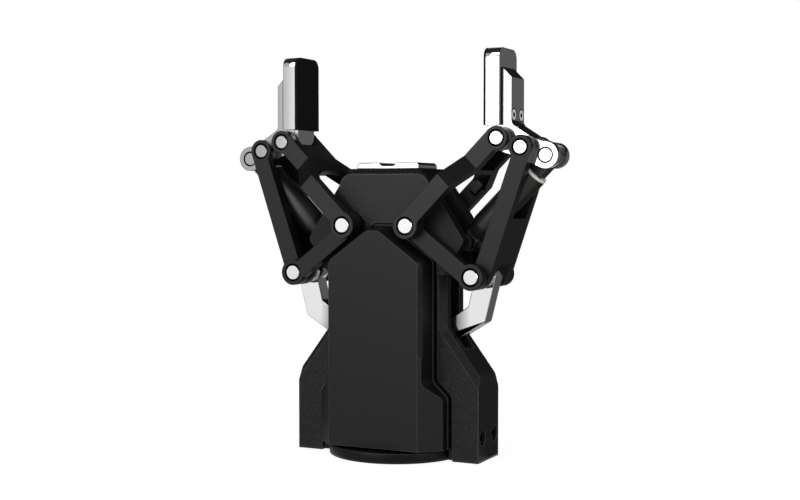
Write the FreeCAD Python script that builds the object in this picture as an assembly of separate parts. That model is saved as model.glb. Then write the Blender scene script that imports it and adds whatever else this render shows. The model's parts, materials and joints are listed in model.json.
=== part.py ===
import FreeCAD
import Part
import math
import os

Vec = FreeCAD.Vector
ORIGIN = Vec(0, 0, 0)
ALONG_X = Vec(1, 0, 0)
ALONG_Y = Vec(0, 1, 0)
ALONG_Z = Vec(0, 0, 1)

# clearances
pin_gap = 0.05
side_gap = 0.2
part_gap = 0.3

# pivots of the right hand linkage as (across, up), with the jaws open
pivot_frame = (15.9, 105.9)
pivot_lever = (45.0, 83.5)
pivot_outer = (65.7, 140.5)
pivot_finger = (54.5, 144.6)
pivot_ear = (75.35, 137.0)
pivot_nut = (15.0, 48.8)
ear_reach = (pivot_ear[0] - pivot_finger[0], pivot_ear[1] - pivot_finger[1])
pivot_strut = (pivot_frame[0] + ear_reach[0], pivot_frame[1] + ear_reach[1])

# pin and knuckle radii
main_pin_r = 3.4
finger_pin_r = 3.05
strut_pin_r = 1.6
nut_pin_r = 2.5
main_knuckle_r = 5.9
finger_knuckle_r = 5.3
ear_r = 5.8
loop_play = 0.7
nut_play = 1.2
pin_ring_w = 0.45
pin_ring_h = 0.5
pin_edge = 0.25

# layers from the middle plane outwards
rod_half = 4.0
strut_eye_half = 3.5
bracket_half = 7.8
frame_inner = 7.0
frame_half = 13.4
inner_layer = (bracket_half + side_gap, frame_half)
lever_layer = (frame_half + side_gap, 19.2)
outer_layer = (lever_layer[1] + side_gap, 24.9)

# flange and its bolt circle
flange_r = 31.5
flange_h = 4.6
spigot_r = 19.8
spigot_top = 8.0
bolt_circle_r = 25.0
bolt_hole_r = 3.3
bolt_room_r = 5.6
bolt_room_top = 13.0
dowel_r = 3.0

# main housing
housing_half = 11.9
housing_top = 84.0
column_half = 29.5
block_half = 46.0
slope_top = 60.0
slope_foot = 38.0
edge_chamfer = 3.0
seat_half = 9.0
groove_w = 2.4

# lower covers
cover_front = 25.5
cover_half = 22.4
cover_bottom = 5.6
crown_half = 3.0
crown_z = 103.6
roof_slope = 0.728
cover_bevel = 1.3
bevel_depth = 2.7
cover_wall = 2.5
rim_w = 0.5
rim_front = 12.2
crown_corner = 3.5
flare_inset = 0.5
flare_half = flange_r - flare_inset
flare_depth = 17.0
flare_low = 28.6
flare_high = 35.4

# upper frame and upper covers
frame_top = 131.6
frame_foot = (33.0, 88.0)
frame_shoulder = (36.2, 94.5)
frame_wing = (39.6, 99.2)
frame_neck = (22.9, 124.4)
frame_crest = 17.7
upper_front = 14.2
upper_seat = 10.4
upper_cover_top = 129.5
upper_cover_half = 23.2
upper_cover_widest = 121.9
upper_cover_foot = 105.7
upper_cover_foot_half = 8.4
upper_cover_corner = 6.0
arch_half = 4.6
arch_rise = 0.9
top_plate = 4.0
boss_r = 3.6
bearing_block_half = 9.0
bearing_block_wall = 1.5

# palm plate
palm_half = 15.8
palm_depth = 10.0
palm_h = 2.8
palm_bevel = 1.2
dip_half = 4.8
dip_depth = 1.4
dip_run = 1.8

# fingers
tip_face = 48.5
tip_back = 55.0
tip_half = 10.6
tip_foot = 150.4
tip_top = 184.6
tip_corner = 4.4
tongue_back = 50.5
tongue_half = 7.6
tongue_foot = 143.4
pad_t = 1.0
rib_back = 59.6
rib_top = 176.0
rib_slant = 4.7
rib_foot = 150.9
bracket_neck_r = 5.0
tip_screw_r = 1.5
tip_screw_head_r = 2.8
tip_screw_z = 155.0
tip_screw_y = 4.5

# finger link arms
arm_inner = 5.2
arm_outer = 3.1
jog_start = 27.3
jog_end = 38.8
web_t = 3.0
web_from = 31.0
web_to = 48.0
outer_web_foot = 7.9
outer_web_top = 29.4
outer_web_t = 2.85

# spring strut
barrel_r = 6.3
barrel_top_gap = 11.4
ring_t = 1.2
nose_r = 4.4
nose_h = 6.2
nose_gap = 4.46
bore_r = 4.4
strut_rod_r = 2.2
rod_end_half = 4.3
rod_end_r = 4.8
strut_foot_r = 4.2
bore_foot = 16.0
piston_foot = 18.0
piston_h = 2.0
spring_wire_r = 0.45
spring_r = 3.4
spring_turns = 5

# drive inside the body
motor_r = 19.5
motor_top = 34.0
screw_r = 4.0
journal_r = 3.0
top_journal_r = 2.5
low_bearing_r = 8.0
low_bearing_z = (35.0, 41.0)
top_bearing_r = 6.5
top_bearing_z = (99.0, 104.0)
nut_half = 19.5
nut_side = 6.8
nut_z = (43.0, 57.0)
nut_slot_x = 9.0

# side screws
side_screw_z = 11.0
side_screw_y = 7.0
side_head_r = 3.3
side_head_h = 3.9
side_head_sunk = 0.6
side_shank_r = 2.0
side_socket_r = 1.75
side_socket_h = 2.2
side_hole_wall = 1.6

# rear socket
socket_z = 22.0
socket_collar_r = 8.5
socket_barrel_r = 6.0
socket_end = 35.5
socket_bore_r = 4.6
socket_bore_h = 7.0
socket_step = 2.0
contact_r = 2.1
contact_hole_r = 0.55

# control board
board_half = 17.0
board_z = (42.0, housing_top)
board_stand = 3.0
board_y = seat_half + board_stand
board_t = 1.6
board_post_r = 1.8
board_post_inset = 3.0
driver_half = 6.0
driver_h = 1.4
driver_up = 6.0
memory_x = (-12.0, -5.0)
memory_h = 1.2
memory_down = 16.0
choke_r = 4.0
choke_h = 5.0
choke_x = 8.0
choke_down = 12.0

# drive rods, their bends given from the lever pivot
rod_eye_r = 6.0
rod_foot_r = 4.6
rod_neck = 3.9
rod_rise = math.radians(32.7)
rod_lean = math.radians(76)
rod_bend_inner = (-7.5, -14.2)
rod_bend_outer = (0.9, -21.0)
rod_bend_r = 2.0
spacer_r = 5.2

os.makedirs("parts", exist_ok=True)


# drawing helpers

def outline(corners):
    count = len(corners)
    pieces = []
    for i in range(count):
        here = Vec(corners[i][0], 0, corners[i][1])
        radius = corners[i][2] if len(corners[i]) > 2 else 0
        if radius == 0:
            pieces.append((here, None, here))
            continue
        back = corners[i - 1]
        ahead = corners[(i + 1) % count]
        a = (Vec(back[0], 0, back[1]) - here).normalize()
        b = (Vec(ahead[0], 0, ahead[1]) - here).normalize()
        half = a.getAngle(b) / 2
        reach = radius / math.tan(half)
        middle = here + (a + b).normalize() * (radius / math.sin(half) - radius)
        pieces.append((here + a * reach, middle, here + b * reach))
    edges = []
    for i in range(count):
        start, middle, stop = pieces[i]
        if middle is not None:
            edges.append(Part.Arc(start, middle, stop).toShape())
        following = pieces[(i + 1) % count][0]
        if (following - stop).Length > 1e-6:
            edges.append(Part.makeLine(stop, following))
    return Part.Wire(edges)


def slab(corners, y0, y1):
    face = Part.Face(outline(corners))
    face.translate(Vec(0, y0, 0))
    return face.extrude(Vec(0, y1 - y0, 0))


def plan(corners, z0, z1):
    shape = slab(corners, -z1, -z0)
    shape.rotate(ORIGIN, ALONG_X, -90)
    return shape


def facing(corners, x0, x1):
    shape = slab(corners, -x1, -x0)
    shape.rotate(ORIGIN, ALONG_Z, 90)
    return shape


def box(x0, x1, y0, y1, z0, z1):
    return Part.makeBox(x1 - x0, y1 - y0, z1 - z0, Vec(x0, y0, z0))


def pin(pivot, radius, y0, y1):
    return Part.makeCylinder(radius, y1 - y0, Vec(pivot[0], y0, pivot[1]), ALONG_Y)


def post(radius, z0, z1, x=0.0, y=0.0):
    return Part.makeCylinder(radius, z1 - z0, Vec(x, y, z0), ALONG_Z)


def turned(profile):
    face = Part.Face(outline(profile))
    return face.revolve(ORIGIN, ALONG_X, 360)


def fuse(shapes):
    return shapes[0].multiFuse(shapes[1:]).removeSplitter()


def mirror_x(shape):
    return shape.mirror(ORIGIN, ALONG_X)


def mirror_y(shape):
    return shape.mirror(ORIGIN, ALONG_Y)


def both_sides(corners):
    return corners + [(-c[0],) + tuple(c[1:]) for c in reversed(corners)]


def swing(shape, pivot, toward):
    angle = math.degrees(math.atan2(toward[1] - pivot[1], toward[0] - pivot[0]))
    shape.rotate(ORIGIN, ALONG_Y, -angle)
    shape.translate(Vec(pivot[0], 0, pivot[1]))
    return shape


def rim_point(centre, radius, degrees):
    turn = math.radians(degrees)
    return (centre[0] + radius * math.cos(turn), centre[1] + radius * math.sin(turn))


def span(a, b):
    return math.hypot(b[0] - a[0], b[1] - a[1])


def hexagon(radius, depth):
    corners = []
    for i in range(6):
        turn = math.radians(60 * i)
        corners.append((radius * math.cos(turn), radius * math.sin(turn)))
    return slab(corners, 0, depth)


def edges_at(shape, y):
    found = []
    for edge in shape.Edges:
        b = edge.BoundBox
        if max(abs(b.YMin - y), abs(b.YMax - y)) < 1e-3:
            found.append(edge)
    return found


def save(name, shape):
    shape.exportStep("parts/" + name + ".step")


def save_pair(name, shape):
    save("right_" + name, shape)
    save("left_" + name, mirror_x(shape))


# body

def bolt_places():
    reach = bolt_circle_r * math.sqrt(0.5)
    return [(reach, reach), (-reach, reach), (-reach, -reach), (reach, -reach)]


def base_flange():
    disc = post(flange_r, 0, flange_h)
    spigot = post(spigot_r, flange_h, spigot_top)
    body = fuse([disc, spigot])
    for x, y in bolt_places():
        body = body.cut(post(bolt_hole_r, -1, flange_h + 1, x, y))
        body = body.cut(post(bolt_room_r, flange_h, spigot_top + 1, x, y))
    body = body.cut(post(dowel_r, -1, flange_h, bolt_circle_r))
    return body


def housing_wire(inset, y):
    run = (block_half - column_half)
    length = math.hypot(run, slope_top - slope_foot)
    nx = (slope_top - slope_foot) / length
    nz = run / length
    steep = nx / nz
    x = column_half - inset * nx
    z = slope_top - inset * nz
    top = z - (column_half - inset - x) * steep
    foot = z - (block_half - x) * steep
    corners = [
        (block_half, 0),
        (block_half, foot, 4.0),
        (column_half - inset, top, 6.0),
        (column_half - inset, housing_top),
    ]
    wire = outline(both_sides(corners))
    wire.translate(Vec(0, y, 0))
    return wire


def cover_corners(grow, crown, low):
    half = cover_half + grow
    shoulder = crown_z - (half - crown_half) * roof_slope + grow * 1.24
    drop = crown_z + grow - crown
    return [
        (half, low),
        (half, shoulder, 4.0),
        (crown_half + 0.32 * grow + drop / roof_slope, crown, crown_corner),
    ]


def flare_corners(grow, low):
    return [
        (flare_half + grow, low),
        (flare_half + grow, flare_low + 0.4 * grow, 4.0),
        (cover_half + cover_bevel + grow, flare_high + 0.4 * grow, 4.0),
        (cover_half + cover_bevel + grow, flare_high + 15),
    ]


def seat_cut():
    # recess in the front face that takes the rim of the cover, with a groove all round
    grow = cover_bevel + groove_w
    upper = slab(both_sides(cover_corners(grow, crown_z + 1.8, 20)), -30, -seat_half)
    lower = slab(both_sides(flare_corners(groove_w, -1)), -30, -seat_half)
    return fuse([upper, lower])


def main_housing():
    depths = [-housing_half, edge_chamfer - housing_half]
    depths += [housing_half - edge_chamfer, housing_half]
    insets = [edge_chamfer, 0, 0, edge_chamfer]
    wires = [housing_wire(insets[i], depths[i]) for i in range(4)]
    body = Part.makeLoft(wires, True, True)
    seat = seat_cut()
    cuts = [seat, mirror_y(seat)]
    cuts.append(post(flange_r + part_gap, -1, flange_h))
    cuts.append(post(spigot_r + part_gap, flange_h - 1, motor_top))
    cuts.append(post(low_bearing_r, low_bearing_z[0], low_bearing_z[1] + 1))
    cuts.append(post(low_bearing_r - 2, motor_top - 1, low_bearing_z[0] + 1))
    reach = column_half - edge_chamfer
    cavity_foot = low_bearing_z[1]
    cuts.append(box(-reach, reach, -frame_inner, frame_inner, cavity_foot, housing_top + 1))
    slot = rod_half + 0.6
    cuts.append(box(-40, 40, -slot, slot, slope_top - 10, housing_top + 1))
    for side in (-1, 1):
        for y in (-side_screw_y, side_screw_y):
            cuts.append(side_hole(side, y, side_head_r + 0.1, side_head_sunk + side_head_h))
            cuts.append(side_hole(side, y, side_shank_r + pin_gap, side_hole_depth()))
    body = body.cut(cuts)
    pillars = []
    post_x = board_half - board_post_inset
    for x in (-post_x, post_x):
        for z in (board_z[0] + board_post_inset, board_z[1] - board_post_inset):
            pillars.append(pin((x, z), board_post_r, seat_half, board_y))
    return fuse([body] + pillars)


def side_hole_depth():
    return block_half - flare_half - groove_w - side_hole_wall


def side_hole(side, y, radius, depth):
    return Part.makeCylinder(radius, depth, Vec(side * block_half, y, side_screw_z), Vec(-side, 0, 0))


def side_screws():
    screws = []
    for side in (-1, 1):
        for y in (-side_screw_y, side_screw_y):
            face = block_half - side_head_sunk
            seat = face - side_head_h
            tip = block_half - side_hole_depth() + side_gap
            head = Part.makeCylinder(side_head_r, side_head_h, Vec(seat, y, side_screw_z), ALONG_X)
            shank = Part.makeCylinder(side_shank_r, seat - tip, Vec(tip, y, side_screw_z), ALONG_X)
            socket = hexagon(side_socket_r, side_socket_h)
            socket.rotate(ORIGIN, ALONG_Z, 90)
            socket.translate(Vec(face, y, side_screw_z))
            screw = fuse([head, shank]).cut(socket)
            screws.append(screw if side > 0 else mirror_x(screw))
    return Part.makeCompound(screws)


def lower_cover():
    wires = []
    steps = [(0, -cover_front), (cover_bevel, bevel_depth - cover_front), (cover_bevel, -seat_half)]
    for grow, y in steps:
        wire = outline(both_sides(cover_corners(grow, crown_z + grow, cover_bottom)))
        wire.translate(Vec(0, y, 0))
        wires.append(wire)
    house = Part.makeLoft(wires, True, True)
    corners = [
        (-flare_half, -seat_half),
        (-flare_half, -flare_depth),
        (-cover_half, -cover_front),
        (cover_half, -cover_front),
        (flare_half, -flare_depth),
        (flare_half, -seat_half),
    ]
    flare = slab(both_sides(flare_corners(0, cover_bottom)), -cover_front - 1, -seat_half)
    flare = flare.common(plan(corners, cover_bottom, flare_high + 12))
    edge = cover_corners(cover_bevel + rim_w, crown_z + cover_bevel, cover_bottom)
    rim = slab(both_sides(edge), -rim_front, -seat_half)
    foot_rim = slab(both_sides(flare_corners(rim_w, cover_bottom)), -rim_front, -seat_half)
    shell = fuse([house, flare, rim, foot_rim])
    inside = cover_corners(cover_bevel - cover_wall, crown_z - 1.5, cover_bottom - 1)
    cuts = [slab(both_sides(inside), cover_wall - cover_front, 0)]
    for x, y in bolt_places():
        cuts.append(post(bolt_room_r, 0, bolt_room_top, x, y))
    return shell.cut(cuts)


def upper_cover_corners(grow):
    foot = upper_cover_foot - grow
    return [
        (upper_cover_half - 1.3 + grow, upper_cover_top + grow, upper_cover_corner + grow),
        (upper_cover_half + grow, upper_cover_widest, 1.2),
        (upper_cover_foot_half + grow, foot, 1.0),
        (arch_half + arch_rise - grow, foot),
        (arch_half - grow, foot + arch_rise),
    ]


def upper_cover():
    body = slab(both_sides(upper_cover_corners(0)), -upper_front, -upper_seat)
    body = body.makeChamfer(0.5, edges_at(body, -upper_front))
    hub = main_knuckle_r + part_gap
    for side in (-1, 1):
        body = body.cut(pin((side * pivot_frame[0], pivot_frame[1]), hub, -upper_front - 1, 0))
    return body


def upper_frame():
    corners = [
        (column_half, housing_top),
        frame_foot + (2.0,),
        frame_shoulder + (2.0,),
        frame_wing + (2.4,),
        frame_neck + (3.0,),
        (frame_crest, frame_top),
    ]
    body = slab(both_sides(corners), -frame_half, frame_half)
    space = box(-60, 60, -frame_inner, frame_inner, housing_top - 1, frame_top - top_plate)
    block = bearing_block_half
    low = top_bearing_z[0] - bearing_block_wall
    high = top_bearing_z[1] + bearing_block_wall
    bearing_seat = box(-block, block, -frame_inner, frame_inner, low, high)
    bosses = []
    near = strut_eye_half + side_gap
    for side in (-1, 1):
        centre = (side * pivot_strut[0], pivot_strut[1])
        for y0, y1 in ((-frame_inner, -near), (near, frame_inner)):
            bosses.append(pin(centre, boss_r, y0, y1))
    body = fuse([body.cut(space), bearing_seat] + bosses)
    seat = seat_cut()
    pocket = slab(both_sides(upper_cover_corners(side_gap)), -frame_half - 1, -upper_seat)
    cuts = [seat, mirror_y(seat), pocket, mirror_y(pocket)]
    cuts.append(post(top_bearing_r, top_bearing_z[0], top_bearing_z[1]))
    cuts.append(post(screw_r + 1, low - 1, top_bearing_z[0] + 1))
    for side in (-1, 1):
        centre = (side * pivot_frame[0], pivot_frame[1])
        cuts.append(pin(centre, main_pin_r + pin_gap, -20, 20))
        centre = (side * pivot_strut[0], pivot_strut[1])
        cuts.append(pin(centre, strut_pin_r + pin_gap, -frame_inner - 2, frame_inner + 2))
    return body.cut(cuts)


def palm_plate():
    top = frame_top + palm_h
    corners = [
        (palm_half, frame_top),
        (palm_half, top - palm_bevel),
        (palm_half - palm_bevel, top),
        (dip_half, top, 1.0),
        (dip_half - dip_run, top - dip_depth, 1.0),
    ]
    return slab(both_sides(corners), -palm_depth, palm_depth)


# drive inside the body

def motor():
    can = post(motor_r, spigot_top, motor_top)
    can = can.makeChamfer(1.0, [can.Edges[0], can.Edges[2]])
    return can.cut(post(journal_r + pin_gap, 24, motor_top + 1))


def bearing(radius, bore, heights):
    ring = post(radius - 0.02, heights[0], heights[1])
    ring = ring.cut(post(bore + 0.02, heights[0] - 1, heights[1] + 1))
    for z in heights:
        groove = post(radius - 1.2, z - 0.4, z + 0.4).cut(post(bore + 1.2, z - 0.5, z + 0.5))
        ring = ring.cut(groove)
    return ring


def drive_screw():
    lower = post(journal_r, 24.5, low_bearing_z[1])
    thread = post(screw_r, low_bearing_z[1], top_bearing_z[0])
    upper = post(top_journal_r, top_bearing_z[0], top_bearing_z[1] - 0.2)
    return fuse([lower, thread, upper])


def drive_nut():
    corners = [
        (nut_half, nut_z[0], 2.0),
        (nut_half, nut_z[0] + 11, 2.0),
        (nut_slot_x + 2, nut_z[1], 1.0),
    ]
    body = slab(both_sides(corners), -nut_side, nut_side)
    body = body.cut(post(screw_r + pin_gap, nut_z[0] - 1, nut_z[1] + 1))
    for side in (-1, 1):
        near = side * nut_slot_x
        far = side * (nut_half + 1)
        slot = rod_half + side_gap
        body = body.cut(box(min(near, far), max(near, far), -slot, slot, nut_z[0] - 1, nut_z[1] + 1))
        centre = (side * pivot_nut[0], pivot_nut[1])
        body = body.cut(pin(centre, nut_pin_r + nut_play, -10, 10))
    return body


def control_board():
    face = board_y + board_t
    low, high = board_z
    board = box(-board_half, board_half, board_y, face, low, high)
    foot = low + driver_up
    driver = box(-driver_half, driver_half, face, face + driver_h, foot, foot + 2 * driver_half)
    foot = high - memory_down
    memory = box(*memory_x, face, face + memory_h, foot, foot + memory_x[1] - memory_x[0])
    choke = Part.makeCylinder(choke_r, choke_h, Vec(choke_x, face, high - choke_down), ALONG_Y)
    return fuse([board, driver, memory, choke])


def cable_socket():
    step = cover_front + socket_step
    profile = [
        (cover_front, 0),
        (cover_front, socket_collar_r),
        (step, socket_collar_r),
        (step, socket_barrel_r),
        (socket_end, socket_barrel_r),
        (socket_end, 0),
    ]
    shell = turned(profile)
    tail = Part.makeCylinder(socket_barrel_r - pin_gap, 3.5, Vec(cover_front - 3.5, 0, 0), ALONG_X)
    floor = socket_end - socket_bore_h
    bore = Part.makeCylinder(socket_bore_r, socket_bore_h, Vec(floor, 0, 0), ALONG_X)
    insert = Part.makeCylinder(socket_bore_r - 0.8, socket_bore_h - 1.5, Vec(floor - 0.5, 0, 0), ALONG_X)
    shape = fuse([fuse([shell, tail]).cut(bore), insert])
    for i in range(4):
        turn = math.radians(45 + 90 * i)
        place = Vec(floor + 2, contact_r * math.cos(turn), contact_r * math.sin(turn))
        shape = shape.cut(Part.makeCylinder(contact_hole_r, socket_bore_h, place, ALONG_X))
    shape.rotate(ORIGIN, ALONG_Z, 90)
    shape.translate(Vec(0, 0, socket_z))
    return shape


# linkage on the right hand side

def knuckle_hole(shape, pivot, radius):
    return shape.cut(pin(pivot, radius, -40, 40))


def pin_seat(shape, pivot, radius, face):
    # shallow recess round both ends of a pin that ends flush with the outer faces
    for y in (-face - 1, face - pin_ring_h):
        shape = shape.cut(pin(pivot, radius + pin_ring_w, y, y + 1 + pin_ring_h))
    return shape


def flush_pin(pivot, radius, face):
    body = pin(pivot, radius, -face, face)
    return body.makeChamfer(pin_edge, edges_at(body, -face) + edges_at(body, face))


def finger_link():
    length = span(pivot_frame, pivot_finger)
    band = slab([(0, -arm_outer), (length, -arm_outer), (length, arm_inner), (0, arm_inner)], -30, 30)
    foot = pin((0, 0), main_knuckle_r, -30, 30)
    head = pin((length, 0), finger_knuckle_r, -30, 30)
    side = fuse([band, foot, head])
    corner_x = math.sqrt(main_knuckle_r ** 2 - arm_outer ** 2)
    head_x = length - math.sqrt(finger_knuckle_r ** 2 - arm_outer ** 2)
    corners = []
    for e in side.Edges:
        b = e.BoundBox
        if b.YLength > 50 and abs(b.ZMin + arm_outer) < 1e-3:
            if min(abs(b.XMin - corner_x), abs(b.XMin - head_x)) < 1e-2:
                corners.append(e)
    side = side.makeFillet(3.0, corners)
    inner0, outer0 = outer_layer
    inner1, outer1 = inner_layer
    shift = (outer0 - inner0) * math.tan(math.radians(22.5))
    path = [
        (-10, inner0),
        (jog_start - shift, inner0),
        (jog_end - shift, inner1),
        (length + 10, inner1),
        (length + 10, outer1),
        (jog_end, outer1),
        (jog_start, outer0),
        (-10, outer0),
    ]
    arm = side.common(plan(path, -10, 10))
    lip = (jog_end - shift) - web_from
    web_plan = [
        (web_from, 0),
        (web_from - 1.5, inner1 + lip * 0.8, 2.0),
        (web_from, inner1 + lip + 1),
        (jog_end - shift, inner1 + 1),
        (web_to, inner1 + 1),
        (web_to, 0),
    ]
    web = plan(web_plan, arm_inner - web_t, arm_inner)
    brace = box(jog_end - 3.4, jog_end - 0.8, 0, inner1 + 2, -arm_outer, -arm_outer + 2.4)
    rib = box(19, 30, inner0 - 2.0, inner0 + 1, -1.2, 2.6)
    rib = rib.common(plan([(19, inner0 + 1), (30, inner0 + 1), (28, inner0 - 2), (21, inner0 - 2)], -5, 5))
    half = fuse([arm, web, brace, rib])
    whole = fuse([half, mirror_y(half)])
    whole = swing(whole, pivot_frame, pivot_finger)
    whole = knuckle_hole(whole, pivot_frame, main_pin_r + pin_gap)
    whole = knuckle_hole(whole, pivot_finger, finger_pin_r + pin_gap)
    whole = pin_seat(whole, pivot_frame, main_pin_r, outer_layer[1])
    return pin_seat(whole, pivot_finger, finger_pin_r, inner_layer[1])


def drive_lever():
    length = span(pivot_frame, pivot_lever)
    y0, y1 = lever_layer
    band = slab([(0, -5.0), (length, -5.0), (length, 2.8), (0, 2.8)], -y1, -y0)
    plate = fuse([band, pin((0, 0), main_knuckle_r, -y1, -y0), pin((length, 0), main_knuckle_r, -y1, -y0)])
    plate = swing(plate, pivot_frame, pivot_lever)
    plate = knuckle_hole(plate, pivot_frame, main_pin_r + pin_gap)
    plate = knuckle_hole(plate, pivot_lever, main_pin_r + pin_gap)
    return pin_seat(plate, pivot_lever, main_pin_r, lever_layer[1])


def outer_web_corners():
    # the web between the arms, cut back at its top inside where the strut passes
    return [
        (outer_web_foot, -6.45),
        (outer_web_top, -5.97),
        (outer_web_top, -4.6),
        (outer_web_top - 5.9, -6.45 + outer_web_t),
        (outer_web_foot, -6.45 + outer_web_t),
    ]


def outer_link():
    length = span(pivot_lever, pivot_outer)
    y0, y1 = inner_layer
    side = [(0, -main_knuckle_r), (5.5, -6.5), (length, -5.3), (length, 2.5), (0, 1.8)]
    arm = fuse([
        slab(side, y0, y1),
        pin((0, 0), main_knuckle_r, y0, y1),
        pin((length, 0), finger_knuckle_r, y0, y1),
    ])
    web = slab(outer_web_corners(), 0, y0 + 1)
    half = fuse([arm, web])
    whole = swing(fuse([half, mirror_y(half)]), pivot_lever, pivot_outer)
    whole = knuckle_hole(whole, pivot_lever, main_pin_r + loop_play)
    whole = knuckle_hole(whole, pivot_outer, finger_pin_r + pin_gap)
    return pin_seat(whole, pivot_outer, finger_pin_r, inner_layer[1])


def finger_bracket():
    corners = [
        (tongue_back, tip_foot),
        (tip_back, tip_foot),
        (tip_back, rib_top),
        (rib_back, rib_top - rib_slant),
        (rib_back, rib_foot, 3.0),
        rim_point(pivot_outer, 5.54, 64.3),
        rim_point(pivot_ear, 6.53, 108.3),
        rim_point(pivot_ear, ear_r, 81.6),
        pivot_ear,
        rim_point(pivot_ear, ear_r, 245),
        rim_point(pivot_outer, bracket_neck_r, 250),
        rim_point(pivot_finger, finger_knuckle_r, 250),
        (tongue_back, tongue_foot - 2.2),
    ]
    body = fuse([
        slab(corners, -bracket_half, bracket_half),
        pin(pivot_outer, bracket_neck_r, -bracket_half, bracket_half),
        pin(pivot_finger, finger_knuckle_r, -bracket_half, bracket_half),
        pin(pivot_ear, ear_r, -bracket_half, bracket_half),
    ])
    slot = strut_eye_half + side_gap
    reach = span(pivot_strut, pivot_ear)
    lane = box(0, reach, -slot, slot, -rod_end_half - part_gap, rod_end_half + part_gap)
    lane = swing(lane, pivot_strut, pivot_ear)
    cuts = [lane, pin(pivot_ear, rod_end_r + 0.6, -slot, slot)]
    cuts.append(box(pivot_ear[0] - rod_end_r - 0.6, 90, -slot, slot, 120, pivot_ear[1]))
    cuts.append(box(69.9, 90, -slot, slot, pivot_ear[1] - 1, 160))
    cuts.append(box(40, tongue_back, -20, 20, 130, 160))
    for pivot in (pivot_outer, pivot_finger, pivot_ear):
        cuts.append(pin(pivot, finger_pin_r + pin_gap, -20, 20))
    for y in (-tip_screw_y, tip_screw_y):
        cuts.append(tip_screw_shape(y, pin_gap))
    return pin_seat(body.cut(cuts), pivot_ear, finger_pin_r, bracket_half)


def tip_screw_shape(y, gap):
    profile = [
        (tongue_back + 1, 0),
        (tongue_back + 1, tip_screw_r + gap),
        (rib_back - 1.4, tip_screw_r + gap),
        (rib_back - 0.1, tip_screw_head_r + gap),
        (rib_back if gap == 0 else rib_back + 1, tip_screw_head_r + gap),
        (rib_back if gap == 0 else rib_back + 1, 0),
    ]
    shape = turned(profile)
    shape.translate(Vec(0, y, tip_screw_z))
    return shape


def tip_screws():
    screws = []
    for y in (-tip_screw_y, tip_screw_y):
        socket = hexagon(1.1, 1.3)
        socket.rotate(ORIGIN, ALONG_Z, 90)
        socket.translate(Vec(rib_back + 0.01, y, tip_screw_z))
        screws.append(tip_screw_shape(y, 0).cut(socket))
    return Part.makeCompound(screws)


def fingertip():
    plate = facing(both_sides([(tip_half, tip_foot), (tip_half, tip_top, tip_corner)]), tip_face, tip_back)
    tongue = [(tongue_half, tip_foot + 1), (tongue_half, tongue_foot, 4.0)]
    tongue = facing(both_sides(tongue), tip_face, tongue_back)
    body = fuse([plate, tongue])
    for y in (-tip_screw_y, tip_screw_y):
        body = body.cut(tip_screw_shape(y, pin_gap))
    return body


def rubber_pad():
    corners = both_sides([(tip_half, tip_foot), (tip_half, tip_top, tip_corner)])
    return facing(corners, tip_face - pad_t, tip_face)


def strut_length():
    return span(pivot_strut, pivot_ear)


def strut_barrel():
    top = strut_length() - barrel_top_gap
    body = turned([
        (nose_gap, 0),
        (nose_gap, nose_r),
        (nose_gap + nose_h, barrel_r),
        (top, barrel_r),
        (top, 0),
    ])
    body = body.cut(Part.makeCylinder(bore_r, top - bore_foot, Vec(bore_foot, 0, 0), ALONG_X))
    eye = pin((0, 0), strut_foot_r, -strut_eye_half, strut_eye_half)
    neck = box(0, nose_gap + 0.5, -strut_eye_half, strut_eye_half, -3.4, 3.4)
    body = fuse([body, eye, neck]).cut(pin((0, 0), strut_pin_r + pin_gap, -10, 10))
    return swing(body, pivot_strut, pivot_ear)


def strut_ring():
    top = strut_length() - barrel_top_gap
    ring = Part.makeCylinder(barrel_r, ring_t, Vec(top, 0, 0), ALONG_X)
    ring = ring.cut(Part.makeCylinder(strut_rod_r + pin_gap, ring_t + 2, Vec(top - 1, 0, 0), ALONG_X))
    return swing(ring, pivot_strut, pivot_ear)


def strut_rod():
    length = strut_length()
    foot = length - barrel_top_gap + ring_t
    head = fuse([
        box(foot, length, -strut_eye_half, strut_eye_half, -rod_end_half, rod_end_half),
        pin((length, 0), rod_end_r, -strut_eye_half, strut_eye_half),
    ])
    start = piston_foot + piston_h / 2
    stem = Part.makeCylinder(strut_rod_r, foot - start + 1, Vec(start, 0, 0), ALONG_X)
    piston = Part.makeCylinder(bore_r - pin_gap, piston_h, Vec(piston_foot, 0, 0), ALONG_X)
    body = fuse([head, stem, piston]).cut(pin((length, 0), finger_pin_r + pin_gap, -10, 10))
    return swing(body, pivot_strut, pivot_ear)


def strut_spring():
    start = piston_foot + piston_h + spring_wire_r
    rise = strut_length() - barrel_top_gap - spring_wire_r - start
    coil = Part.makeHelix(rise / spring_turns, rise, spring_r)
    section = Part.Wire(Part.makeCircle(spring_wire_r, Vec(spring_r, 0, 0), ALONG_Y))
    shape = Part.Wire(coil).makePipeShell([section], True, True)
    shape.rotate(ORIGIN, ALONG_Y, 90)
    shape.translate(Vec(start, 0, 0))
    return swing(shape, pivot_strut, pivot_ear)


def drive_rod():
    fx, fz = math.cos(rod_rise), math.sin(rod_rise)
    tx, tz = math.cos(rod_lean), math.sin(rod_lean)
    nx, nz = pivot_nut
    px, pz = pivot_lever
    corners = [
        (nx - rod_foot_r * fz, nz + rod_foot_r * fx),
        (px + rod_bend_inner[0], pz + rod_bend_inner[1], rod_bend_r),
        (px - rod_neck * tz, pz + rod_neck * tx),
        (px + rod_eye_r * tz, pz - rod_eye_r * tx),
        (px + rod_bend_outer[0], pz + rod_bend_outer[1], rod_bend_r),
        (nx + rod_foot_r * fz, nz - rod_foot_r * fx),
    ]
    body = fuse([
        slab(corners, -rod_half, rod_half),
        pin(pivot_lever, rod_eye_r, -rod_half, rod_half),
        pin(pivot_nut, rod_foot_r, -rod_half, rod_half),
    ])
    body = knuckle_hole(body, pivot_lever, main_pin_r + pin_gap)
    return knuckle_hole(body, pivot_nut, nut_pin_r + pin_gap)


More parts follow.
